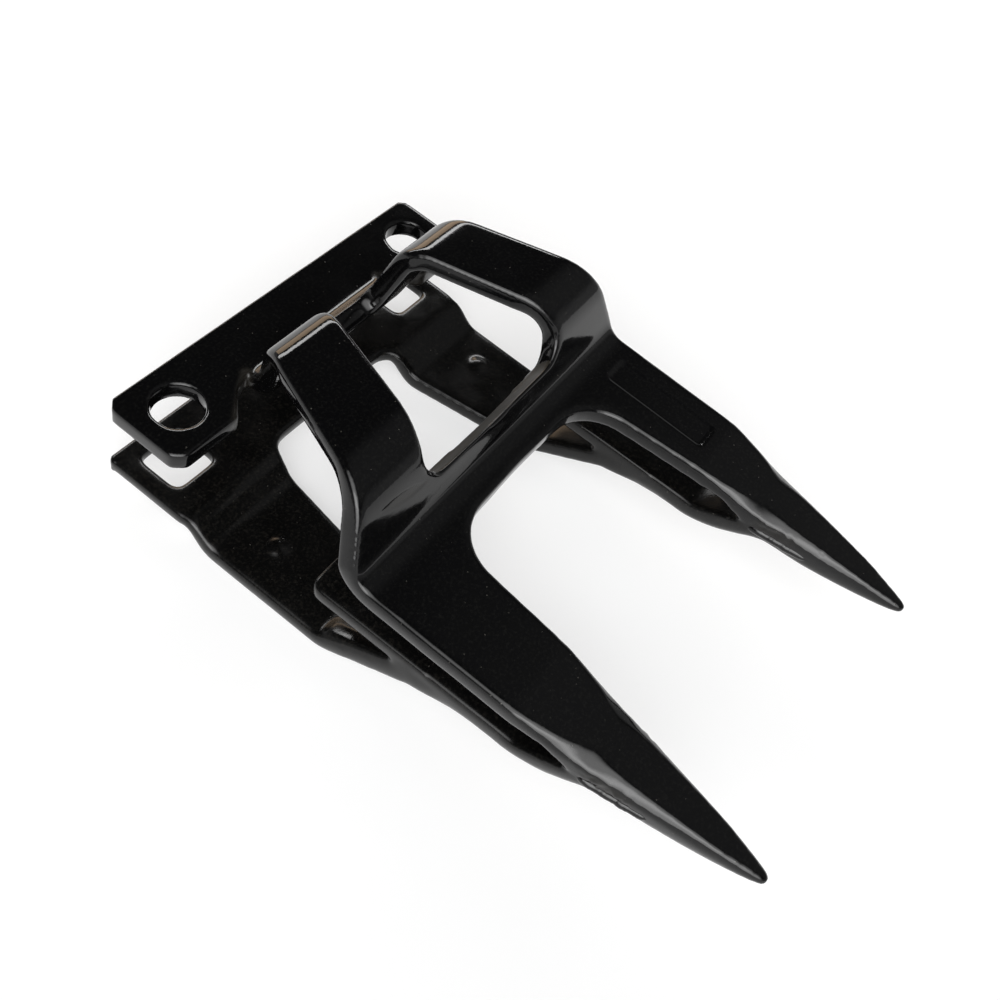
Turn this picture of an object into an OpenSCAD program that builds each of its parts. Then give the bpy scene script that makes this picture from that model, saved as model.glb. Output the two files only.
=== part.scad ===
// Double knife guard for a mower cutterbar: an upper and a lower steel forging, welded at both noses.
// Millimetres, +Z up. The origin lies midway between the two bolt holes, on the upper plate's top face.
// The fingers point to -Y. Folded shapes are drawn by their path (u, z), where u = -y is the distance
// in front of the bolt holes.

/* [Bolting plates] */
// Spacing of the two bolt holes and of the two fingers
bolt_pitch = 76.2; // [74:0.1:80]
// Diameter of the round holes in the upper plate
bolt_hole_d = 11; // [9:0.1:12]
// Side of the square holes in the lower plate
square_hole_w = 11.2; // [9:0.1:12]
// Corner radius of the square holes
square_hole_r = 1.6; // [0.5:0.1:2.5]
// Gap between the plates, which takes the cutterbar
plate_gap = 13.3; // [11:0.1:16]
// Distance from the bolt holes to the upper plate's ends
upper_end = 10; // [8.5:0.1:12]
// Distance from the bolt holes to the lower plate's ends
lower_end = 10.5; // [8.5:0.1:12]
// Distance from the bolt holes to the rear edges
plate_rear = 9.7; // [8.5:0.1:12]
// Distance from the bolt holes to the front of the upper plate's lugs
lug_front = 10.2; // [8.5:0.1:11]
// Width of the plate outside an arm's root, where the lug's slanted edge turns to the arm
lug_root = 4.4; // [1:0.1:6]
// Width of the straight front edge of each lug
lug_edge = 16.5; // [12:0.1:18]
// Corner cut at the front of the upper plate's lugs
lug_cut = 2.4; // [1:0.1:4]
// Corner cut at the rear of the upper plate
upper_cut = 1.9; // [0.5:0.1:4]
// Corner cut at the rear of the lower plate
lower_cut = 0.9; // [0.5:0.1:4]

/* [Upper arms] */
// Thickness of the upper half's arms and plate
upper_t = 5; // [4.5:0.1:5.5]
// Distance from the bolt holes to the foot of the rear rise
rise_start = 5.2; // [4.5:0.1:6]
// Distance from the bolt holes to the hump's sharp rear corner
hump_start = 13.2; // [12:0.1:15]
// Height of the hump over the plate
hump_h = 23.2; // [21:0.1:26]
// Slope of the hump's front side
hump_angle = 67.5; // [62:0.5:70]
// Length of the hump's top between its sharp corners
hump_l = 33.5; // [31:0.1:36]
// Height of the finger's top at the foot of the hump
foot_h = 5; // [4:0.1:6]
// Bend radius between the plate and the rear rise
root_bend_r = 3; // [2:0.5:4]
// Bend radius at the hump's rear
rear_bend_r = 8; // [6.5:0.5:10]
// Bend radius at the hump's front
front_bend_r = 12; // [9:0.5:14]
// Bend radius at the foot of the hump
foot_bend_r = 5; // [3:0.5:6]
// Width between the arms at the rear
window_rear_w = 24.6; // [20:0.1:28]
// Width between the arms at the front bend
window_front_w = 45; // [40:0.1:48]
// Length of the bent-up lip between the arms, from the start of the bend
lip_l = 4.5; // [3:0.1:5]
// Corner radius between the lip and the arms
root_r = 4; // [2:0.1:5]
// Width of an arm at the plate
arm_root_w = 9.7; // [8:0.1:11]
// Width of an arm at the hump's rear bend
arm_rear_w = 17.3; // [15:0.1:19]
// Width of an arm at the hump's front bend
arm_front_w = 19.5; // [18:0.1:21]

/* [Crossbar] */
// Length of the crossbar that lies up the hump's front slope
crossbar_up = 7.5; // [6.5:0.1:9]
// Distance from the bolt holes to the crossbar's front edge
crossbar_front = 60.2; // [59:0.1:63]
// Corner radius between the crossbar's rear edge and the arms
window_r = 6; // [3:0.1:7]
// Forward lean of the crossbar's rear face over its thickness
crossbar_lean = 3.6; // [0:0.1:4.5]
// Corner radius between the crossbar's front edge and the fingers
notch_r = 12; // [8:0.1:14]

/* [Fingers] */
// Half width of an upper finger on its outer side
finger_out = 9.7; // [8.5:0.1:10.5]
// Half width of an upper finger on its inner side, next to the crossbar
finger_in = 11.4; // [10:0.1:12.5]
// Distance from the bolt holes to the start of the nose
nose_start = 90.5; // [86:0.5:94]
// Fall of the finger's top from the foot of the hump to the start of the nose
finger_fall = 0.7; // [0:0.1:1.5]
// Distance from the bolt holes to the tip
tip_reach = 146; // [140:0.5:152]
// Half width of the nose at its start
nose_half_w = 9.6; // [8.5:0.1:10]
// Half width of the blunt tip
tip_half_w = 1; // [0.8:0.1:2]
// Width of the bevel along the nose's upper edges
nose_bevel = 2.4; // [1.5:0.1:3]
// Width of the bevel at the neck over the slot's end
neck_bevel = 4.3; // [3:0.1:5]
// Drop of the nose's bevels
bevel_drop = 2; // [1.2:0.1:3]
// Depth of the seam between the halves under the upper plate's top
seam_depth = 3.6; // [3:0.1:4.2]
// Depth of the lower half's nose under the seam
nose_depth = 4.8; // [4:0.1:6]
// Height of the knife slot
slot_h = 7.8; // [7:0.1:8.5]
// Distance from the bolt holes to the closed end of the knife slot
slot_end = 106.5; // [104:0.5:108]

/* [Lower half] */
// Thickness of the lower plate
low_plate_t = 3.7; // [3.4:0.1:4.4]
// Thickness of the lower arms
low_arm_t = 4.5; // [4:0.1:5]
// Distance from the bolt holes to the window's rear edge
low_window = 11.1; // [10.5:0.1:13]
// Corner radius at the rear of the window
low_window_r = 4.5; // [3:0.1:6]
// Drop of the arms below the plate
step_h = 4.4; // [3.5:0.1:5]
// Distance from the bolt holes to the top of the step
step_start = 14.2; // [13.5:0.1:15]
// Distance from the bolt holes to the foot of the step
step_end = 19.4; // [19:0.1:22]
// Distance from the bolt holes to the foot of the ramp
ramp_start = 48.5; // [47:0.5:52]
// Slope of the ramp
ramp_angle = 27; // [25:0.5:30]
// Bend radius at the top of the step
step_top_r = 6; // [5.5:0.5:7]
// Bend radius at the foot of the step
step_foot_r = 4; // [2:0.5:5]
// Bend radius at both ends of the ramp
ramp_r = 8; // [6:0.5:12]
// Width of the window at the step
low_window_rear_w = 42; // [38:0.1:46]
// Width of the window at the ramp
low_window_front_w = 53; // [50:0.1:56]
// Waist of the lower arms between the step and the ramp
low_waist = 1.1; // [0:0.1:2]
// Thickness of the shear ledge
ledge_t = 4; // [3.5:0.1:4.5]
// Distance from the bolt holes to the ledge's rear edge
ledge_rear = 43.3; // [41:0.1:46]
// Half width of the ledge at its rear
ledge_rear_w = 8.8; // [8:0.1:9.2]
// Half width of the ledge where the nose starts
ledge_front_w = 8.2; // [7.6:0.1:8.6]
// Corner radius of the ledge
ledge_r = 3; // [1:0.1:5]
// Height of the bar under the knife slot at the ramp's head
bar_rear_h = 8.3; // [7.4:0.1:9]
// Height of the bar under the knife slot at the nose's start
bar_front_h = 6; // [5:0.1:7]
// Width of the rib along the ramp's outer edge
rib_w = 4; // [2.5:0.1:5]
// Height of the rib along the ramp's outer edge
rib_h = 1.6; // [0.8:0.1:2]
// Distance from the bolt holes to the round boss on each arm
boss_u = 28.8; // [26:0.1:32]
// Diameter of the round boss
boss_d = 5.4; // [4:0.1:8]
// Height of the round boss
boss_h = 1.1; // [0.6:0.1:1.6]

/* [Welds] */
// Width of the weld bead over the seam
bead_w = 2.4; // [1.5:0.1:3]
// Length of the seam that is welded, forward from the slot's end
bead_l = 16; // [12:0.5:24]

/* [Hidden] */

paint = [0.09, 0.09, 0.095];
bend_r = [root_bend_r, rear_bend_r, front_bend_r, foot_bend_r];
low_bend_r = [step_top_r, step_foot_r, ramp_r, ramp_r];
// Edge radius of the forgings and of the bar's underside, and power that makes a round edge a soft bevel
edge_r = 1;
bar_r = 2.6;
bevel_form = 1.7;
// Largest edge radius as a share of a section's half width and height, and the share at the seam
side_share = 0.8;
height_share = 0.85;
seam_share = 0.1;
// Depth by which joined forms run into each other, and overshoot of a through cut
sink = 0.6;
cut = 1;
// Widening of the window below the front bend, and length over which the crossbar's lean begins
window_flare = 1.2;
lean_run = 14;
// Length of the roof's fall to the seam, of the neck's bevel on either side of the slot's end,
// and from there to where the bar's belly meets the nose's
roof_run = 10;
neck_run = 6;
join_run = 5.2;
// Distance from the bolt holes at which the arms start inside the plates
upper_under = 0.5;
lower_under = 6;
// Inset of the lower arms' outer sides from the plate's
arm_inset = 0.15;
// Length of the ledge past the start of the nose
ledge_over = 3;
// Share of the bead's width that is sunk in the nose's side
bead_share = 0.35;
// Bow and bluntness of the nose's side, top and belly outlines, and the belly's dip behind its middle
side_bow = [1.1, 0.77];
top_bow = [1, 0.8];
belly_bow = [3, 0.7];
dip_share = 0.5;
dip_rear_share = 0.36;
dip_front_share = 0.6;
// Power of the bar's rise to the nose's belly
belly_rise = 1.8;
// Steps of a rounded edge, a bend, the lip, the crossbar, the finger, the neck, the nose and the bead
round_steps = 3;
bend_steps = 9;
lip_steps = 8;
crossbar_steps = 10;
finger_steps = 4;
neck_steps = 12;
nose_steps = 13;
bead_steps = 10;
bead_sides = 12;
// Angle between the sections of a corner arc, and gap between sections that would coincide
corner_step = 15;
section_gap = 0.3;
finger_x = bolt_pitch / 2;
low_z = -upper_t - plate_gap;
nose_l = tip_reach - nose_start;
nose_h = foot_h - finger_fall + seam_depth;
roof_z = foot_h - finger_fall - upper_t;
ledge_z = roof_z - slot_h;

// Path of a folded sheet: corner points (u, z) joined by straights and arcs

function heading(a, b) = atan2(b[1] - a[1], b[0] - a[0]);
function turn(p, i) = heading(p[i], p[i + 1]) - heading(p[i - 1], p[i]);
function setback(p, r, i) = i == 0 || i == len(p) - 1 ? 0 : r[i - 1] * tan(abs(turn(p, i)) / 2);
function straight(p, r, i) = norm(p[i + 1] - p[i]) - setback(p, r, i) - setback(p, r, i + 1);
function arc_length(p, r, i) = r[i - 1] * abs(turn(p, i)) * PI / 180;
// Distance along the path to the start of corner i's arc, and to its middle
function arc_start(p, r, i) = straight(p, r, i - 1)
    + (i == 1 ? 0 : arc_start(p, r, i - 1) + arc_length(p, r, i - 1));
function arc_mid(p, r, i) = arc_start(p, r, i) + arc_length(p, r, i) / 2;
function arc_stations(p, r, i) =
    [for (k = [0 : bend_steps]) arc_start(p, r, i) + arc_length(p, r, i) * k / bend_steps];
function on_straight(a, h, d) = [a[0] + d * cos(h), a[1] + d * sin(h), h];
function on_arc(a, h, r, side, d) = let (t = side * d / r * 180 / PI)
    [a[0] + side * r * (sin(h + t) - sin(h)), a[1] - side * r * (cos(h + t) - cos(h)), h + t];
// Point and heading (u, z, angle) at a distance along the path
function path_at(p, r, s, i = 0) =
    let (h = heading(p[i], p[i + 1]),
         first = on_straight(p[i], h, setback(p, r, i)),
         run = straight(p, r, i),
         last = i + 1 == len(p) - 1)
    s <= run || last ? on_straight(first, h, s)
    : s <= run + arc_length(p, r, i + 1)
        ? on_arc(on_straight(first, h, run), h, r[i], sign(turn(p, i + 1)), s - run)
    : path_at(p, r, s - run - arc_length(p, r, i + 1), i + 1);

// Rounded four-sided section, set square to a path, and the skin through a row of such sections

function bent(v, form) = sign(v) * pow(abs(v), form);
function corner(x, n, rx, rn, from, form = 1) =
    [for (k = [0 : round_steps]) let (a = from + 90 * k / round_steps)
        [x + rx * bent(cos(a), form), n + rn * bent(sin(a), form)]];
// Inner and outer edge, top, bottom, top and bottom radius. With closed = 0 the inner side stays square.
// A top edge with another drop than its radius, and with a form over 1, is a bevel.
function section(xi, xo, nt, nb, rt, rb, closed = 1, drop = undef, form = 1) =
    let (d = is_undef(drop) ? rt : drop) concat(
    corner(xo - rb, nb + rb, rb, rb, -90),
    corner(xo - rt, nt - d, rt, d, 0, form),
    corner(xi + rt, nt - d * closed, rt, d * closed, 90, form),
    corner(xi + rb, nb + rb * closed, rb, rb * closed, 180));
function set_on(at, points) =
    [for (q = points) [q[0], -(at[0] - q[1] * sin(at[2])), at[1] + q[1] * cos(at[2])]];

module skin(rings) {
    n = len(rings[0]);
    last = len(rings) - 1;
    sides = [for (i = [0 : last - 1], j = [0 : n - 1]) let (k = (j + 1) % n)
             [i * n + j, (i + 1) * n + j, (i + 1) * n + k, i * n + k]];
    caps = [[for (j = [0 : n - 1]) j], [for (j = [n - 1 : -1 : 0]) last * n + j]];
    polyhedron([for (ring = rings) each ring], concat(sides, caps), convexity = 8);
}

module both_sides() {
    children();
    mirror([1, 0, 0]) children();
}

// Nose: ogive outlines over its length, f = 0 at its start and 1 at the tip

function along_nose(u) = max(0, (u - nose_start) / nose_l);
function ogive(f, bow) = pow(1 - pow(f, bow[0]), bow[1]);
function ease(a, b, u) = let (t = min(1, max(0, (u - a) / (b - a)))) (1 - cos(180 * t)) / 2;
function nose_w(f) = tip_half_w + (nose_half_w - tip_half_w) * ogive(f, side_bow);
function nose_top(f) = tip_half_w + (nose_h - tip_half_w) * ogive(f, top_bow) - seam_depth;
function dip(f) = dip_share * (1 - ease(dip_rear_share, dip_front_share, f));
function nose_low(f) =
    -seam_depth - tip_half_w - (nose_depth - tip_half_w) * ogive(f, belly_bow) * (1 - dip(f));
neck_end = slot_end + 2 * neck_run;
nose_u = concat(
    [for (k = [1 : neck_steps]) nose_start + (neck_end - nose_start) * k / neck_steps],
    [for (k = [1 : nose_steps]) neck_end + (tip_reach - neck_end) * sin(90 * k / nose_steps)]);
// Section of one half of a finger between its inner and outer sides, with its seam side left sharp
function finger_ring(u, w, top, bottom, rt, rb, drop = undef, form = 1) =
    set_on([u, 0, 0], section(finger_x - w, finger_x + w, top, bottom, rt, rb, 1, drop, form));
function fitted_r(r, w, h) = min(r, side_share * w, height_share * h);
function seam_r(h) = min(edge_r, seam_share * h);

// Upper half

foot_run = (hump_h - foot_h) / tan(hump_angle);
top_end = hump_start + hump_l;
upper_path = [[0, 0], [rise_start, 0], [hump_start, hump_h], [top_end, hump_h],
              [top_end + foot_run, foot_h], [nose_start, foot_h - finger_fall]];
function upper_at(s) = path_at(upper_path, bend_r, s);
mid_s = [for (i = [1 : 4]) arc_mid(upper_path, bend_r, i)];
root_s = arc_start(upper_path, bend_r, 1);
lip_s = root_s + lip_l;
foot_s = arc_start(upper_path, bend_r, 4);
foot_end_s = foot_s + arc_length(upper_path, bend_r, 4);
window_s = foot_s + setback(upper_path, bend_r, 4) - crossbar_up;
notch_s = foot_end_s + crossbar_front - upper_at(foot_end_s)[0];
window_in = window_front_w / 2 + window_flare;
notch_in = finger_x - finger_in;
root_out = window_rear_w / 2 + arm_root_w;

function upper_out(s) = lookup(s, [
    [mid_s[0], root_out], [mid_s[1], window_rear_w / 2 + arm_rear_w],
    [mid_s[2], window_front_w / 2 + arm_front_w], [foot_s, finger_x + finger_out]]);
function upper_in(s) = lookup(s, [
    [mid_s[1], window_rear_w / 2], [mid_s[2], window_front_w / 2], [window_s - window_r, window_in]]);
// The crossbar's rear face leans: the inner side of a section slides forward towards its underside
function lean(s) = crossbar_lean * ease(window_s - lean_run, window_s, s) * (1 - ease(window_s, notch_s, s));
function upper_ring(s, xi, closed = 1) =
    let (xo = upper_out(s))
    [for (q = section(xi, xo, 0, -upper_t, edge_r, edge_r, closed))
        each set_on(upper_at(s - lean(s) * q[1] / upper_t * (xo - q[0]) / (xo - xi)), [q])];

// Underside of the upper finger, which meets the seam at the slot's end
function roof(u) = roof_z - (roof_z + seam_depth) * ease(slot_end - roof_run, slot_end, u);
// Bevels of its top, widest at the neck over the slot's end
function bevel_w(u) = lookup(u, [
    [nose_start, edge_r], [slot_end - neck_run, (edge_r + nose_bevel) / 2], [slot_end, neck_bevel],
    [slot_end + neck_run, nose_bevel], [tip_reach, 0]]);
function upper_nose_ring(u) =
    let (f = along_nose(u), top = nose_top(f), w = nose_w(f), bottom = roof(u), h = top - bottom,
         full = ease(nose_start, slot_end - neck_run, u))
    finger_ring(u, w, top, bottom, min(max(bevel_w(u), side_share * tip_half_w), side_share * w), seam_r(h),
        min(edge_r + (bevel_drop - edge_r) * full, height_share * h), 1 + (bevel_form - 1) * full);
upper_nose = [for (u = nose_u) upper_nose_ring(u)];

arm_stations = [for (i = [2 : 3]) each arc_stations(upper_path, bend_r, i)];
lip_run = lip_l - section_gap;
crossbar_run = notch_s - window_s - 2 * section_gap;
finger_s = notch_s + notch_r;
finger_end = mid_s[3] + nose_start - upper_path[4][0];
upper_rings = concat(
    [upper_ring(upper_under, window_rear_w / 2)],
    [for (k = [0 : lip_steps]) upper_ring(root_s + lip_run * k / lip_steps, 0, 0)],
    [for (a = [0 : corner_step : 90])
        upper_ring(lip_s + root_r * (1 - cos(a)), window_rear_w / 2 - root_r * (1 - sin(a)))],
    [for (s = arm_stations) if (s > lip_s + root_r + section_gap && s < window_s - window_r - section_gap)
        upper_ring(s, upper_in(s))],
    [for (a = [0 : corner_step : 90])
        upper_ring(window_s - window_r * (1 - sin(a)), window_in - window_r * (1 - cos(a)))],
    [for (k = [0 : crossbar_steps])
        upper_ring(window_s + section_gap + crossbar_run * k / crossbar_steps, 0, 0)],
    [for (a = [0 : corner_step : 90])
        upper_ring(notch_s + notch_r * (1 - cos(a)), notch_in - notch_r * (1 - sin(a)))],
    [for (k = [1 : finger_steps]) let (t = k / finger_steps)
        set_on(upper_at(finger_s + (finger_end - finger_s) * t), section(
            notch_in + (finger_in - nose_half_w) * t, finger_x + finger_out + (nose_half_w - finger_out) * t,
            0, -upper_t, edge_r, edge_r))],
    upper_nose);

module upper_plate_outline() {
    w = finger_x + upper_end;
    both_sides() polygon([
        [0, plate_rear], [w - upper_cut, plate_rear], [w, plate_rear - upper_cut],
        [w, lug_cut - lug_front], [w - lug_cut, -lug_front], [w - lug_edge, -lug_front],
        [root_out + lug_root, -rise_start], [root_out - sink, -root_s], [0, -root_s]]);
}

module upper_guard() color(paint) {
    difference() {
        translate([0, 0, -upper_t]) linear_extrude(upper_t) upper_plate_outline();
        for (side = [-1, 1]) translate([side * finger_x, 0, -upper_t - cut])
            cylinder(d = bolt_hole_d, h = upper_t + 2 * cut, $fn = 64);
    }
    both_sides() skin(upper_rings);
}

// Lower half

arm_z = low_z - step_h;
ramp_rise = ledge_z - ledge_t + sink - arm_z;
ramp_end = ramp_start + ramp_rise / tan(ramp_angle);
lower_path = [[lower_under, low_z], [step_start, low_z], [step_end, arm_z], [ramp_start, arm_z],
              [ramp_end, ledge_z - ledge_t + sink], [nose_start, ledge_z - ledge_t + 2 * sink]];
function lower_at(s) = path_at(lower_path, low_bend_r, s);
low_mid_s = [for (i = [1 : 4]) arc_mid(lower_path, low_bend_r, i)];
low_window_s = low_window - lower_path[0][0];
function lower_out(s) = lookup(s, [
    [low_mid_s[1], finger_x + lower_end - arm_inset],
    [(low_mid_s[1] + low_mid_s[2]) / 2, finger_x + lower_end - low_waist],
    [low_mid_s[2], finger_x + lower_end - arm_inset], [low_mid_s[3], finger_x + ledge_rear_w]]);
function lower_in(s) = lookup(s, [
    [low_window_s + low_window_r, low_window_rear_w / 2], [low_mid_s[2], low_window_front_w / 2],
    [low_mid_s[3], finger_x - ledge_rear_w]]);
function low_t(s) = lookup(s, [
    [low_mid_s[0], low_plate_t], [low_mid_s[1], low_arm_t], [low_mid_s[2], low_arm_t],
    [low_mid_s[3], bar_rear_h - ledge_t + sink]]);
function lower_ring(s, xi) =
    set_on(lower_at(s), section(xi, lower_out(s), 0, -low_t(s), edge_r, edge_r));

// Bar under the knife slot. Its floor rises to the seam at the slot's end, its belly runs out in the nose.
nose_join = slot_end + join_run;
function floor_z(u) = ledge_z - lookup(u, [[ramp_end, ledge_t / 2], [nose_start, sink]])
    + (ledge_z + seam_depth - sink) * -ease(nose_start, slot_end, u);
function bar_low(u) = ledge_z - lookup(u, [[ramp_end, bar_rear_h], [nose_start, bar_front_h]]);
function low_z_at(u) = let (t = max(0, (u - nose_start) / (nose_join - nose_start)))
    t < 1 ? bar_low(u) + (nose_low(along_nose(nose_join)) - bar_low(u)) * pow(t, belly_rise)
    : nose_low(along_nose(u));
function bar_w(u) = min(nose_w(along_nose(u)), lookup(u, [
    [ramp_end, ledge_rear_w - sink / 2], [nose_start - ledge_over, ledge_front_w - sink / 2],
    [nose_start + ledge_over, ledge_front_w + sink / 2]]));
function bar_ring(u) =
    let (w = bar_w(u), top = floor_z(u), bottom = low_z_at(u), h = top - bottom)
    finger_ring(u, w, top, bottom, seam_r(h), fitted_r(bar_r + edge_r * ease(nose_start, slot_end, u), w, h));
lower_nose = [for (u = nose_u) bar_ring(u)];

lower_rings = concat(
    [for (s = [0, low_window_s]) lower_ring(s, low_window_rear_w / 2 - low_window_r)],
    [for (a = [corner_step : corner_step : 90]) lower_ring(low_window_s + low_window_r * (1 - cos(a)),
        low_window_rear_w / 2 - low_window_r * (1 - sin(a)))],
    [for (i = [2 : 4], s = arc_stations(lower_path, low_bend_r, i)) lower_ring(s, lower_in(s))],
    [for (k = [2 : finger_steps]) bar_ring(ramp_end + (nose_start - ramp_end) * k / finger_steps)],
    lower_nose);

module lower_plate_outline() {
    w = finger_x + lower_end;
    both_sides() polygon([
        [0, plate_rear], [w - lower_cut, plate_rear], [w, plate_rear - lower_cut], [w, -low_window],
        [0, -low_window]]);
}

module rounded_square(w, r) {
    square([w, w - 2 * r], center = true);
    square([w - 2 * r, w], center = true);
    for (x = [-1, 1], y = [-1, 1]) translate([x, y] * (w / 2 - r)) circle(r, $fn = 32);
}

// Flat shelf that the knife slides on, with round rear corners
module ledge() {
    rear = ledge_rear_w;
    front = ledge_front_w;
    ledge_end = nose_start + ledge_over;
    translate([finger_x, 0, ledge_z - ledge_t]) linear_extrude(ledge_t) {
        polygon([[-rear, -ledge_rear - ledge_r], [rear, -ledge_rear - ledge_r],
                 [front, -ledge_end], [-front, -ledge_end]]);
        translate([ledge_r - rear, -ledge_rear - ledge_r]) square([2 * (rear - ledge_r), ledge_r]);
        for (x = [-1, 1]) translate([x * (rear - ledge_r), -ledge_rear - ledge_r]) circle(ledge_r, $fn = 48);
    }
}

// Raised rib along the ramp's outer edge, which runs out under the ledge
module ramp_rib() {
    foot = ramp_start + cut;
    up = (ramp_end - foot) * tan(ramp_angle);
    translate([finger_x + ledge_rear_w - rib_w, 0, 0]) rotate([90, 0, 90]) linear_extrude(rib_w)
        polygon([[-foot, arm_z - cut], [-foot, arm_z + rib_h],
                 [-ramp_end, arm_z + rib_h + up], [-ramp_end, arm_z - cut + up]]);
}

module boss() {
    r = (boss_d * boss_d / 4 + boss_h * boss_h) / (2 * boss_h);
    translate([finger_x, -boss_u, arm_z]) intersection() {
        translate([0, 0, boss_h - r]) sphere(r, $fn = 48);
        translate([0, 0, -low_arm_t / 2]) cylinder(d = boss_d + cut, h = low_arm_t, $fn = 48);
    }
}

module lower_guard() color(paint) {
    difference() {
        translate([0, 0, low_z - low_plate_t]) linear_extrude(low_plate_t) lower_plate_outline();
        for (side = [-1, 1]) translate([side * finger_x, 0, low_z - low_plate_t - cut])
            linear_extrude(low_plate_t + 2 * cut) rounded_square(square_hole_w, square_hole_r);
    }
    both_sides() {
        skin(lower_rings);
        ledge();
        ramp_rib();
        boss();
    }
}

// Weld beads along both sides of each nose

function bead_ring(u, side) =
    let (r = bead_w / 2, x = finger_x + side * (nose_w(along_nose(u)) - bead_share * bead_w))
    [for (k = [0 : bead_sides - 1]) let (a = 360 * k / bead_sides)
        [x + r * cos(a), -u, r * sin(a) - seam_depth]];

module tip_welds() color(paint) both_sides() difference() {
    for (side = [-1, 1])
        skin([for (k = [0 : bead_steps]) bead_ring(slot_end + bead_l * k / bead_steps, side)]);
    skin(upper_nose);
    skin(lower_nose);
}

upper_guard();
lower_guard();
tip_welds();
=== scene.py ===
"""Looks of a double knife guard for a mower cutterbar: two gloss black steel forgings, welded at both noses.

Metres, +Z up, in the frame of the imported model. The origin lies midway between the bolt holes, on the upper
plate's top face, and the fingers point to -Y.
"""

import math

import bmesh
import bpy
import numpy as np
from mathutils import Matrix, Vector, noise


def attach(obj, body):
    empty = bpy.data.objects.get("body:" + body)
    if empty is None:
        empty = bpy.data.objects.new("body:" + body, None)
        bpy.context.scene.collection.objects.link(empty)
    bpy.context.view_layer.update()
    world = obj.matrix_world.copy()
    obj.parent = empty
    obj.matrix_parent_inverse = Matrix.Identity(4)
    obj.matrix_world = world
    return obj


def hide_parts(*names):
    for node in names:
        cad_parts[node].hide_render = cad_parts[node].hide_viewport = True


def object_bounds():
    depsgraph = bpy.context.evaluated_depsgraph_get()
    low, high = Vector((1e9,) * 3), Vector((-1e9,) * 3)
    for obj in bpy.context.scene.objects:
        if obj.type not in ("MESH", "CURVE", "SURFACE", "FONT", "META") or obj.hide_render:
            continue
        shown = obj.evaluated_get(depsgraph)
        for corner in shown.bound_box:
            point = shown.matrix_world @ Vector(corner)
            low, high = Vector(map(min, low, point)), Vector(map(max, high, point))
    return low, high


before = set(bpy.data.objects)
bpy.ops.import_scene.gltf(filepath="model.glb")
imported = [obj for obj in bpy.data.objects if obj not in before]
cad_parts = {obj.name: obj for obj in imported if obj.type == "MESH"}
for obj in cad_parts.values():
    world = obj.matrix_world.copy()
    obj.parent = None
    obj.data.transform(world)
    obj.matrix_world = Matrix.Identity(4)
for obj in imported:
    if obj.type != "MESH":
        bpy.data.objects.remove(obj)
cad_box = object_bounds()
scene = bpy.context.scene
scene.view_settings.view_transform = "Standard"

MM = 0.001
BODY = "root"

# Places on the part: finger lines, seam between the halves, closed end of the knife slot
FINGER_X = 38.1 * MM
SEAM_Z = -3.6 * MM
SLOT_END_Y = -106.5 * MM
# In front of FINGER_Y the halves part at the seam, behind it at the level of PLATE_SPLIT_Z
FINGER_Y = -60 * MM
PLATE_SPLIT_Z = -6.5 * MM
# Points this near the seam's plane count as on it
SEAM_TOLERANCE = 0.001 * MM

# Skin of the forgings: grid of the rebuilt surface, and rounds of smoothing, which round the painted edges.
# The sheared rear edges behind REAR_EDGE_Y and the bevelled noses are smoothed less.
VOXEL = 0.48 * MM
SMOOTH_ROUNDS = 14
SMOOTH_STEP = 0.5
REAR_EDGE_Y = 8 * MM
REAR_EDGE_SHARE = 0.12
# The noses lie between these places, and their share fades in and out over NOSE_FADE
NOSE_SHARE = 0.55
NOSE_FROM_Y = -97 * MM
NOSE_TO_Y = -140 * MM
NOSE_FADE = 6 * MM
# The smoothed tips are drawn out again, over this length
TIP_RUN = 16 * MM


def link(obj):
    """Puts a new object into the scene."""
    scene.collection.objects.link(obj)
    return obj


def ease(low, high, value):
    """Smooth step from 0 at low to 1 at high."""
    t = np.clip((value - low) / (high - low), 0, 1)
    return t * t * (3 - 2 * t)


def rebuilt_mesh(nodes, name):
    """A fine even mesh of the solid that some CAD nodes make together."""
    joined = bmesh.new()
    for cad_name in nodes:
        joined.from_mesh(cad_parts[cad_name].data)
    mesh = bpy.data.meshes.new(name + "_solid")
    joined.to_mesh(mesh)
    joined.free()
    source = link(bpy.data.objects.new(name + "_solid", mesh))
    remesh = source.modifiers.new("remesh", "REMESH")
    remesh.mode = "VOXEL"
    remesh.voxel_size = VOXEL
    remesh.adaptivity = 0
    depsgraph = bpy.context.evaluated_depsgraph_get()
    rebuilt = bpy.data.meshes.new_from_object(source.evaluated_get(depsgraph))
    bpy.data.objects.remove(source)
    bpy.data.meshes.remove(mesh)
    rebuilt.name = name
    return rebuilt


def points_of(mesh, field="co"):
    """The places or normals of a mesh's points, one row each."""
    values = np.empty(len(mesh.vertices) * 3)
    mesh.vertices.foreach_get(field, values)
    return values.reshape(-1, 3)


def put_points(mesh, co):
    """Moves a mesh's points to these places."""
    mesh.vertices.foreach_set("co", co.ravel())
    mesh.update()


def smoothed(co, mesh, share):
    """Each point moves its share of the way to the middle of its neighbours, round by round."""
    edges = np.empty(len(mesh.edges) * 2, np.int64)
    mesh.edges.foreach_get("vertices", edges)
    a, b = edges.reshape(-1, 2).T
    n = len(co)
    degree = np.bincount(a, minlength=n) + np.bincount(b, minlength=n)
    step = share * SMOOTH_STEP / np.maximum(degree, 1)
    co = co.copy()
    for _ in range(SMOOTH_ROUNDS):
        for axis in range(3):
            x = co[:, axis]
            total = np.bincount(a, x[b], n) + np.bincount(b, x[a], n)
            co[:, axis] = x + step * (total - degree * x)
    return co


# Marks of forging, trimming, welding and handling. Each gives the height that it adds along the normal, and
# the share, from 0 to 1, of dull dust in it. FULL is the part of a mark's reach within which it is whole.

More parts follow.
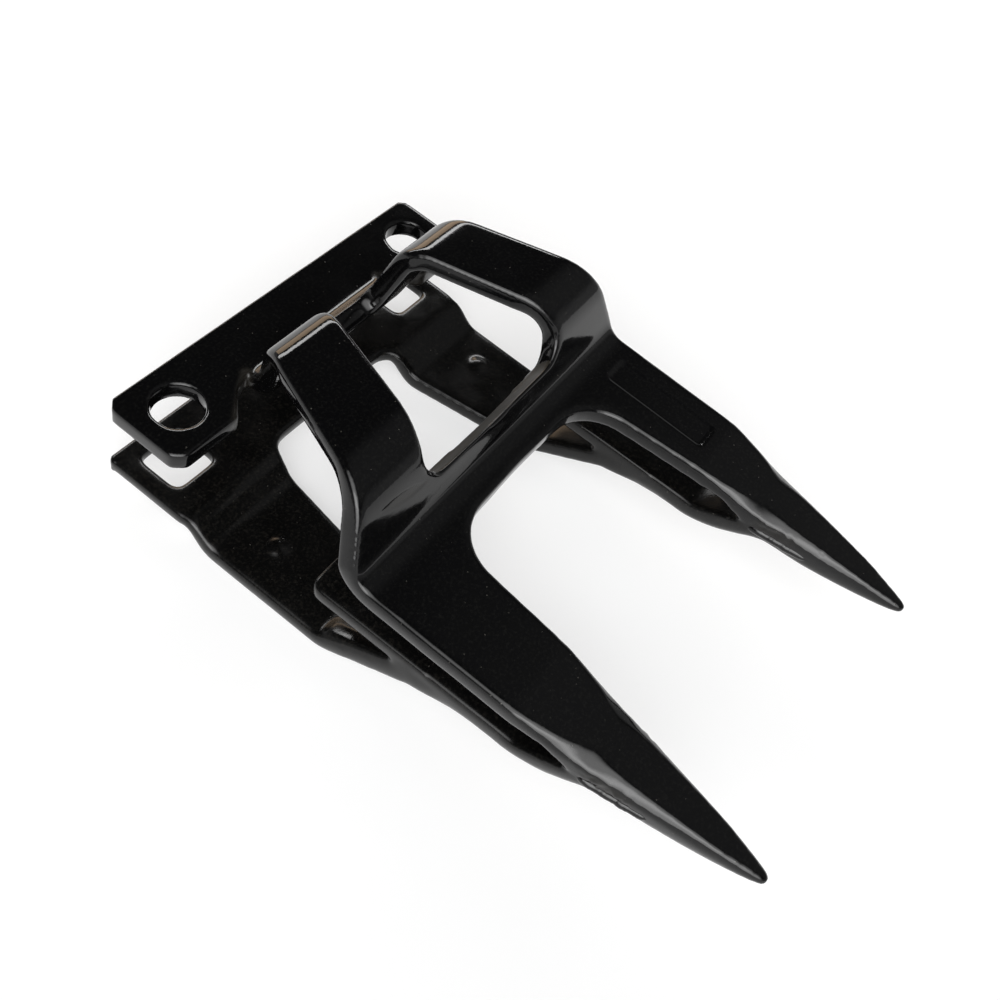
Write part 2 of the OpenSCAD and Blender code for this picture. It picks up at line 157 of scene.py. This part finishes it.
# Slanted trim edge of each lug, from its front to the arm's root. Its rough band rises from the level where
# the halves part, and fades out between two heights above the plate.
TRIM_FROM = np.array((31.6, -10.2)) * MM
TRIM_TO = np.array((22.0, -3.3)) * MM
TRIM_REACH = 2 * MM
TRIM_FULL = 0.3
TRIM_RISE = 1 * MM
TRIM_TOP_Z = np.array((2, 4)) * MM
TRIM_HEIGHT = 0.09 * MM
TRIM_GRAIN = 0.8 * MM
TRIM_DUST = 0.5
# Lens-shaped die mark on the left arm's front slope: middle, half length and half width, reach along Y,
# depth and slant
DENT_AT = np.array((-31.5, -50.4, 14.2)) * MM
DENT_HALF = np.array((7.4, 1.3)) * MM
DENT_REACH_Y = 4 * MM
DENT_FULL = 0.6
DENT_DEPTH = 0.1 * MM
DENT_SLANT = -0.2
DENT_DUST = 0.25
# Bare sunk panel on the right finger's top: corners, corner radius, depth, width of its border, and the
# level that the finger's top lies above
PANEL_LOW = np.array((34.0, -88.0)) * MM
PANEL_HIGH = np.array((42.2, -60.5)) * MM
PANEL_R = 1.6 * MM
PANEL_DEPTH = 0.35 * MM
PANEL_BORDER = 0.9 * MM
PANEL_OVER_Z = 2 * MM
# Nick in the right nose's bevel
NICK_AT = np.array((33.0, -123.8, 0.6)) * MM
NICK_REACH = 1.2 * MM
NICK_FULL = 0.2
NICK_DEPTH = 0.35 * MM
# Weld spatter at the slot's end: reach along the nose, half height of its band, and the band's height above
# the seam. Finer lumps, from another place in the noise, lie on the large ones.
SPATTER_FROM_Y = -106 * MM
SPATTER_TO_Y = -119 * MM
SPATTER_HALF_Z = 3 * MM
SPATTER_LIFT = 1.6 * MM
SPATTER_FULL = 0.4
SPATTER_HEIGHT = 0.34 * MM
SPATTER_GRAIN = 1.5 * MM
SPATTER_FINE_GRAIN = SPATTER_GRAIN / 2
SPATTER_FINE_SHARE = 0.5
SPATTER_FINE_SHIFT = 7
SPATTER_DUST = 0.3
# Rough trim face at the crossbar's rear: reach across, along and up, height and grain
REAR_HALF_X = 21 * MM
REAR_Y = np.array((-51, -44)) * MM
REAR_Z = np.array((4, 14)) * MM
REAR_HEIGHT = 0.04 * MM
REAR_GRAIN = 0.9 * MM
# Slow waves of the forged faces
WAVE_HEIGHT = 0.05 * MM
WAVE_LENGTH = 11 * MM
# Point attribute that holds the marks' dust
DUST_LAYER = "dust"


def noise_at(co, grain, where=slice(None), shift=0.0):
    """Smooth noise of about -1 to 1 with the given grain size, and 0 at points where it isn't wanted."""
    values = np.zeros(len(co))
    offset = Vector((shift, shift, shift))
    values[where] = [noise.noise(Vector(p / grain) + offset) for p in co[where]]
    return values


def trim_marks(co):
    flat = np.stack((np.abs(co[:, 0]), co[:, 1]), axis=1)
    run = TRIM_TO - TRIM_FROM
    along = np.clip((flat - TRIM_FROM) @ run / (run @ run), 0, 1)
    away = np.linalg.norm(flat - TRIM_FROM - along[:, None] * run, axis=1)
    share = 1 - ease(TRIM_FULL * TRIM_REACH, TRIM_REACH, away)
    z = co[:, 2]
    share *= ease(PLATE_SPLIT_Z, PLATE_SPLIT_Z + TRIM_RISE, z) * (1 - ease(*TRIM_TOP_Z, z))
    return share * TRIM_HEIGHT * noise_at(co, TRIM_GRAIN, share > 0), TRIM_DUST * share


def die_mark(co):
    away = co - DENT_AT
    across = away[:, 2] - DENT_SLANT * away[:, 0]
    lens = (away[:, 0] / DENT_HALF[0]) ** 2 + np.abs(across) / DENT_HALF[1]
    near = np.abs(away[:, 1]) < DENT_REACH_Y
    share = near * (1 - ease(DENT_FULL, 1, lens))
    return -DENT_DEPTH * share, DENT_DUST * share


def sunk_panel(co):
    middle = (PANEL_LOW + PANEL_HIGH) / 2
    half = (PANEL_HIGH - PANEL_LOW) / 2 - PANEL_R
    outside = np.maximum(np.abs(co[:, :2] - middle) - half, 0)
    away = np.linalg.norm(outside, axis=1) - PANEL_R
    share = (co[:, 2] > PANEL_OVER_Z) * (1 - ease(-PANEL_BORDER, 0, away))
    return -PANEL_DEPTH * share, np.zeros(len(co))


def nick(co):
    away = np.linalg.norm(co - NICK_AT, axis=1)
    share = 1 - ease(NICK_FULL * NICK_REACH, NICK_REACH, away)
    return -NICK_DEPTH * share, share


def weld_spatter(co):
    middle = (SPATTER_FROM_Y + SPATTER_TO_Y) / 2
    half = (SPATTER_FROM_Y - SPATTER_TO_Y) / 2
    share = 1 - ease(SPATTER_FULL, 1, np.abs(co[:, 1] - middle) / half)
    share *= 1 - ease(SPATTER_FULL, 1, np.abs(co[:, 2] - SEAM_Z - SPATTER_LIFT) / SPATTER_HALF_Z)
    rough = share > 0
    lumps = noise_at(co, SPATTER_GRAIN, rough)
    lumps += SPATTER_FINE_SHARE * noise_at(co, SPATTER_FINE_GRAIN, rough, SPATTER_FINE_SHIFT)
    return share * SPATTER_HEIGHT * lumps, SPATTER_DUST * share


def rear_face_marks(co):
    within = np.abs(co[:, 0]) < REAR_HALF_X
    within &= (co[:, 1] > REAR_Y[0]) & (co[:, 1] < REAR_Y[1])
    within &= (co[:, 2] > REAR_Z[0]) & (co[:, 2] < REAR_Z[1])
    return REAR_HEIGHT * noise_at(co, REAR_GRAIN, within), within


def forged_skin():
    """Both halves as one smooth mesh with their marks, so that they are flush where they meet."""
    mesh = rebuilt_mesh(("upper_guard", "lower_guard"), "guard")
    co = points_of(mesh)
    on_nose = ease(NOSE_TO_Y, NOSE_TO_Y + NOSE_FADE, co[:, 1])
    on_nose *= 1 - ease(NOSE_FROM_Y - NOSE_FADE, NOSE_FROM_Y, co[:, 1])
    share = np.where(co[:, 1] > REAR_EDGE_Y, REAR_EDGE_SHARE, 1 - (1 - NOSE_SHARE) * on_nose)
    co = smoothed(co, mesh, share)
    tip_y = cad_box[0][1]
    short = co[:, 1].min() - tip_y
    co[:, 1] -= short * (1 - ease(tip_y, tip_y + TIP_RUN, co[:, 1]))
    put_points(mesh, co)
    height = WAVE_HEIGHT * noise_at(co, WAVE_LENGTH)
    dust = np.zeros(len(co))
    for mark in (trim_marks, die_mark, sunk_panel, nick, weld_spatter, rear_face_marks):
        added, dusty = mark(co)
        height += added
        dust = np.maximum(dust, dusty)
    put_points(mesh, co + points_of(mesh, "normal") * height[:, None])
    mesh.attributes.new(DUST_LAYER, "FLOAT", "POINT").data.foreach_set("value", dust)
    return mesh


def half_of(mesh, name, upper):
    """The upper or lower half of the guard's skin, closed where the halves meet."""
    half = bmesh.new()
    half.from_mesh(mesh)
    nose = [f for f in half.faces if f.calc_center_median().y < FINGER_Y]
    parts = set(nose)
    for face in nose:
        parts.update(face.edges)
        parts.update(face.verts)
    bmesh.ops.bisect_plane(
        half,
        geom=list(parts),
        dist=SEAM_TOLERANCE,
        plane_co=(0, 0, SEAM_Z),
        plane_no=(0, 0, 1),
    )
    other = []
    for face in half.faces:
        middle = face.calc_center_median()
        above = middle.z > (SEAM_Z if middle.y < FINGER_Y else PLATE_SPLIT_Z)
        if above != upper:
            other.append(face)
    bmesh.ops.delete(half, geom=other, context="FACES")
    for face in half.faces:
        face.smooth = True
    rim = [e for e in half.edges if e.is_boundary]
    for edge in rim:
        edge.smooth = False
    bmesh.ops.holes_fill(half, edges=rim, sides=0)
    return mesh_from(half, name)


def mesh_from(made, name):
    """A mesh with this name of what was made, which is then freed."""
    mesh = bpy.data.meshes.new(name)
    made.to_mesh(mesh)
    made.free()
    return mesh


# Weld beads along both sides of each nose: radius, length, depth in the nose, and counts of rings and sides
BEAD_R = 1.2 * MM
BEAD_LENGTH = 16 * MM
BEAD_SUNK = 0.85 * MM
BEAD_STEPS = 64
BEAD_SIDES = 20
# Length of the rounded ends, and the least square of the share of the radius that they keep
BEAD_END = 2.5 * MM
BEAD_END_LEAST = 0.02
# Lumps: length, share of the radius, wander off the seam, and the fingers' and sides' places in the noise
BEAD_LUMP = 3.4 * MM
BEAD_LUMP_SHARE = 0.14
BEAD_WANDER = 0.25 * MM
BEAD_LUMP_PLACES = (3, 5)
BEAD_WANDER_PLACES = (7, 9)
# Skin points within this of the seam's level and of a ring give the nose's width there
SEAM_BAND = 0.7 * MM


def nose_half_width(co, y):
    near = (np.abs(co[:, 2] - SEAM_Z) < SEAM_BAND) & (np.abs(co[:, 1] - y) < SEAM_BAND)
    return np.abs(np.abs(co[near, 0]) - FINGER_X).max()


def bead_noise(finger, side, y, places):
    return noise.noise(Vector((finger * places[0], y / BEAD_LUMP, side * places[1])))


def bead(mesh, finger, side, co):
    """One lumpy bead on a side of a nose, with tapered ends."""
    turns = [2 * math.pi * j / BEAD_SIDES for j in range(BEAD_SIDES)]
    rings = []
    for k in range(BEAD_STEPS + 1):
        y = SLOT_END_Y - BEAD_LENGTH * k / BEAD_STEPS
        run = min(k, BEAD_STEPS - k) * BEAD_LENGTH / BEAD_STEPS
        taper = math.sqrt(max(BEAD_END_LEAST, 1 - (1 - min(1, run / BEAD_END)) ** 2))
        lump = bead_noise(finger, side, y, BEAD_LUMP_PLACES)
        z = SEAM_Z + BEAD_WANDER * bead_noise(finger, side, y, BEAD_WANDER_PLACES)
        r = BEAD_R * taper * (1 + BEAD_LUMP_SHARE * lump)
        x = finger * FINGER_X + side * (nose_half_width(co, y) - BEAD_SUNK)
        rings.append([mesh.verts.new((x + r * math.cos(a), y, z + r * math.sin(a))) for a in turns])
    for low, high in zip(rings, rings[1:]):
        for j in range(BEAD_SIDES):
            i = (j + 1) % BEAD_SIDES
            mesh.faces.new((low[j], low[i], high[i], high[j])).smooth = True
    mesh.faces.new(rings[0])
    mesh.faces.new(rings[-1])


def weld_beads(co):
    """All four beads as one mesh, fitted to the skin's points."""
    beads = bmesh.new()
    for finger in (-1, 1):
        for side in (-1, 1):
            bead(beads, finger, side, co)
    bmesh.ops.recalc_face_normals(beads, faces=beads.faces)
    return mesh_from(beads, "weld_beads")


# Gloss black paint. Scales of the noise are per millimetre, and heights are in millimetres.

# Orange peel and fine grain
PEEL_SCALE = 0.7
PEEL_DETAIL = 2
PEEL_HEIGHT = 0.012
GRAIN_SCALE = 3.2
GRAIN_DETAIL = 3
# Pale dust nibs in some of the cells of a net. In cell units, a nib is full within the first radius and gone
# beyond the second, and it grows with the cell's random value between the two chances.
NIB_SCALE = 0.7
NIB_RADIUS = (0.03, 0.14)
NIB_CHANCE = (0.6, 1)
NIB_HEIGHT = 0.012
NIB_DUST = (0.06, 0.057, 0.05, 1)
# Weak mirror of the thick paint
PAINT_SPECULAR = 0.34
# Clouds of duller gloss, and the range of the noise that spans a paint's two roughnesses
CLOUD_SCALE = 0.12
CLOUD_DETAIL = 5
CLOUD_RANGE = (0.3, 0.7)
# Faint specks over the paint
SPECK_SCALE = 1.6
SPECK_DETAIL = 4
SPECK_RANGE = (0.45, 0.85)
# Dull grey-brown dust in the marks
MARK_DUST = (0.022, 0.019, 0.014, 1)
MARK_SHARE = 0.6
MARK_ROUGHNESS = 0.45
# Each half's paint: black, colour of the specks, least and most roughness, height of the fine grain
UPPER_LOOK = ((0.0016, 0.0016, 0.0018, 1), (0.006, 0.006, 0.0056, 1), (0.06, 0.11), 0.003)
LOWER_LOOK = ((0.002, 0.002, 0.002, 1), (0.011, 0.01, 0.0085, 1), (0.14, 0.26), 0.008)


def node(tree, kind, inputs, **settings):
    """A new shader node with its settings, its inputs set to values or linked to other nodes' outputs."""
    made = tree.nodes.new("ShaderNode" + kind)
    for key, value in settings.items():
        setattr(made, key, value)
    for key, value in inputs.items():
        if isinstance(value, bpy.types.NodeSocket):
            tree.links.new(value, made.inputs[key])
        else:
            made.inputs[key].default_value = value
    return made


def maths(tree, operation, *values):
    return node(tree, "Math", dict(enumerate(values)), operation=operation).outputs["Value"]


def noise_node(tree, place, scale, detail):
    return node(tree, "TexNoise", {"Vector": place, "Scale": scale, "Detail": detail}).outputs[0]


def ranged(tree, value, low, high, to_low, to_high):
    inputs = {"Value": value, "From Min": low, "From Max": high, "To Min": to_low, "To Max": to_high}
    return node(tree, "MapRange", inputs, interpolation_type="SMOOTHSTEP").outputs["Result"]


def mixed(tree, share, first, second):
    return node(tree, "MixRGB", {"Fac": share, "Color1": first, "Color2": second}).outputs["Color"]


def paint_material(name, black, speck, roughness, grain_height):
    """Black paint with orange peel, a fine grain, dust nibs and specks, between two roughnesses."""
    material = bpy.data.materials.new(name)
    material.use_nodes = True
    tree = material.node_tree
    shader = tree.nodes["Principled BSDF"]
    place = node(tree, "TexCoord", {}).outputs["Object"]
    place = node(tree, "VectorMath", {0: place, "Scale": 1 / MM}, operation="SCALE").outputs["Vector"]

    peel = noise_node(tree, place, PEEL_SCALE, PEEL_DETAIL)
    grain = noise_node(tree, place, GRAIN_SCALE, GRAIN_DETAIL)
    cells = node(tree, "TexVoronoi", {"Vector": place, "Scale": NIB_SCALE})
    chance = node(tree, "SeparateColor", {"Color": cells.outputs["Color"]}).outputs["Red"]
    dot = ranged(tree, cells.outputs["Distance"], *NIB_RADIUS, 1, 0)
    nib = maths(tree, "MULTIPLY", dot, ranged(tree, chance, *NIB_CHANCE, 0, 1))
    height = maths(tree, "MULTIPLY", nib, NIB_HEIGHT)
    for relief, share in ((peel, PEEL_HEIGHT), (grain, grain_height)):
        height = maths(tree, "MULTIPLY_ADD", relief, share, height)
    bump = node(tree, "Bump", {"Height": height, "Strength": 1, "Distance": MM})
    tree.links.new(bump.outputs["Normal"], shader.inputs["Normal"])

    marks = node(tree, "Attribute", {}, attribute_name=DUST_LAYER).outputs["Fac"]
    clouds = noise_node(tree, place, CLOUD_SCALE, CLOUD_DETAIL)
    dull = ranged(tree, clouds, *CLOUD_RANGE, *roughness)
    dull = maths(tree, "MULTIPLY_ADD", marks, MARK_ROUGHNESS, dull)
    tree.links.new(dull, shader.inputs["Roughness"])

    specks = ranged(tree, noise_node(tree, place, SPECK_SCALE, SPECK_DETAIL), *SPECK_RANGE, 0, 1)
    colour = mixed(tree, specks, black, speck)
    colour = mixed(tree, nib, colour, NIB_DUST)
    colour = mixed(tree, maths(tree, "MULTIPLY", marks, MARK_SHARE), colour, MARK_DUST)
    tree.links.new(colour, shader.inputs["Base Color"])
    shader.inputs["Specular IOR Level"].default_value = PAINT_SPECULAR
    return material


upper_paint = paint_material("upper_paint", *UPPER_LOOK)
lower_paint = paint_material("lower_paint", *LOWER_LOOK)

guard_mesh = forged_skin()
guard_points = points_of(guard_mesh)
PIECES = (
    ("upper_skin", "upper_guard", half_of(guard_mesh, "upper_skin", True), upper_paint),
    ("lower_skin", "lower_guard", half_of(guard_mesh, "lower_skin", False), lower_paint),
    ("weld_beads", "tip_welds", weld_beads(guard_points), upper_paint),
)
for piece_name, cad_node, piece_mesh, piece_paint in PIECES:
    piece_mesh.materials.append(piece_paint)
    piece = link(bpy.data.objects.new(piece_name, piece_mesh))
    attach(piece, BODY)
    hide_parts(cad_node)
bpy.data.meshes.remove(guard_mesh)

# Camera at the photograph's viewpoint
CAMERA_AT = Vector((-132.204, -92.751, 171.302)) * MM
CAMERA_RIGHT = Vector((0.558313, -0.787920, 0.259748))
CAMERA_UP = Vector((0.593872, 0.598185, 0.538043))
CAMERA_BACK = Vector((-0.579312, -0.146139, 0.801898))
CAMERA_LENS = 36.6
CAMERA_SENSOR = 36
CAMERA_CLIP_START = 0.01

camera_data = bpy.data.cameras.new("camera")
camera_data.lens = CAMERA_LENS
camera_data.sensor_width = CAMERA_SENSOR
camera_data.clip_start = CAMERA_CLIP_START
camera = link(bpy.data.objects.new("camera", camera_data))
camera.matrix_world = Matrix((CAMERA_RIGHT, CAMERA_UP, CAMERA_BACK)).transposed().to_4x4()
camera.matrix_world.translation = CAMERA_AT
scene.camera = camera

# Pale matt floor. FLOOR_GLOW is the share of plain white in it for the camera and for mirrors.
FLOOR_HALF = 6
FLOOR_COLOUR = (0.95, 0.95, 0.95, 1)
FLOOR_ROUGHNESS = 0.9
FLOOR_SPECULAR = 0.1
FLOOR_GLOW = 0.6


def make_floor():
    """A floor under the lowest point of the dressed object."""
    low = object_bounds()[0][2]
    corners = [(x * FLOOR_HALF, y * FLOOR_HALF, low) for x, y in ((-1, -1), (1, -1), (1, 1), (-1, 1))]
    mesh = bpy.data.meshes.new("floor")
    mesh.from_pydata(corners, [], [(0, 1, 2, 3)])
    material = bpy.data.materials.new("floor")
    material.use_nodes = True
    tree = material.node_tree
    shader = tree.nodes["Principled BSDF"]
    shader.inputs["Base Color"].default_value = FLOOR_COLOUR
    shader.inputs["Roughness"].default_value = FLOOR_ROUGHNESS
    shader.inputs["Specular IOR Level"].default_value = FLOOR_SPECULAR
    path = node(tree, "LightPath", {}).outputs
    seen = path["Is Camera Ray"]
    for ray in ("Is Glossy Ray", "Is Transmission Ray"):
        seen = maths(tree, "MAXIMUM", seen, path[ray])
    share = maths(tree, "MULTIPLY", seen, FLOOR_GLOW)
    glow = node(tree, "Emission", {"Strength": 1})
    mix = node(tree, "MixShader", {0: share, 1: shader.outputs["BSDF"], 2: glow.outputs[0]})
    tree.links.new(mix.outputs[0], tree.nodes["Material Output"].inputs["Surface"])
    mesh.materials.append(material)
    link(bpy.data.objects.new("floor", mesh))


make_floor()

# Soft boxes that face TARGET: name, direction from it, distance, width, height, brightness and tint
TARGET = Vector((0, -0.05, 0))
LAMPS = (
    ("rear_strip", (0.55, 0.72, 0.5), 1.0, 1.2, 0.13, 9, (1, 1, 1)),
    ("rear_card", (0.55, 0.72, 0.18), 1.2, 0.8, 0.35, 2.4, (1, 0.72, 0.47)),
)


def softbox(name, toward, distance, width, height, brightness, tint):
    """An area lamp that shows in mirrors and not to the camera."""
    light = bpy.data.lights.new(name, "AREA")
    light.shape = "RECTANGLE"
    light.size = width
    light.size_y = height
    light.energy = brightness * math.pi * width * height
    light.color = tint
    lamp = link(bpy.data.objects.new(name, light))
    lamp.visible_camera = False
    toward = Vector(toward).normalized()
    lamp.location = TARGET + toward * distance
    lamp.rotation_euler = toward.to_track_quat("Z", "Y").to_euler()


for lamp_values in LAMPS:
    softbox(*lamp_values)

# Studio that is pale near the floor and dark overhead, with soft lights: direction, angles in degrees within
# which the light is full and beyond which it is gone, and brightness
WORLD_PALE = 0.35
WORLD_DARK = 0.03
WORLD_PALE_TO = 0.15
WORLD_DARK_FROM = 0.4
SOFT_LIGHTS = (
    ((-0.6, -0.3, 0.74), 8, 36, 4.2),
    ((0.45, -0.5, 0.74), 10, 45, 0.17),
    ((-0.81, -0.47, 0.36), 10, 32, 5.5),
)


def make_world():
    """The studio around the object, as brightness by direction."""
    world = bpy.data.worlds.new("studio")
    world.use_nodes = True
    scene.world = world
    tree = world.node_tree
    place = node(tree, "TexCoord", {}).outputs["Generated"]
    up = node(tree, "SeparateXYZ", {"Vector": place}).outputs["Z"]
    total = ranged(tree, up, WORLD_PALE_TO, WORLD_DARK_FROM, WORLD_PALE, WORLD_DARK)
    for toward, full, gone, brightness in SOFT_LIGHTS:
        axis = Vector(toward).normalized()
        near = node(tree, "VectorMath", {0: place, 1: axis}, operation="DOT_PRODUCT").outputs["Value"]
        edge = math.cos(math.radians(gone))
        light = ranged(tree, near, edge, math.cos(math.radians(full)), 0, brightness)
        total = maths(tree, "ADD", total, light)
    background = tree.nodes["Background"]
    background.inputs["Color"].default_value = (1, 1, 1, 1)
    tree.links.new(total, background.inputs["Strength"])


make_world()
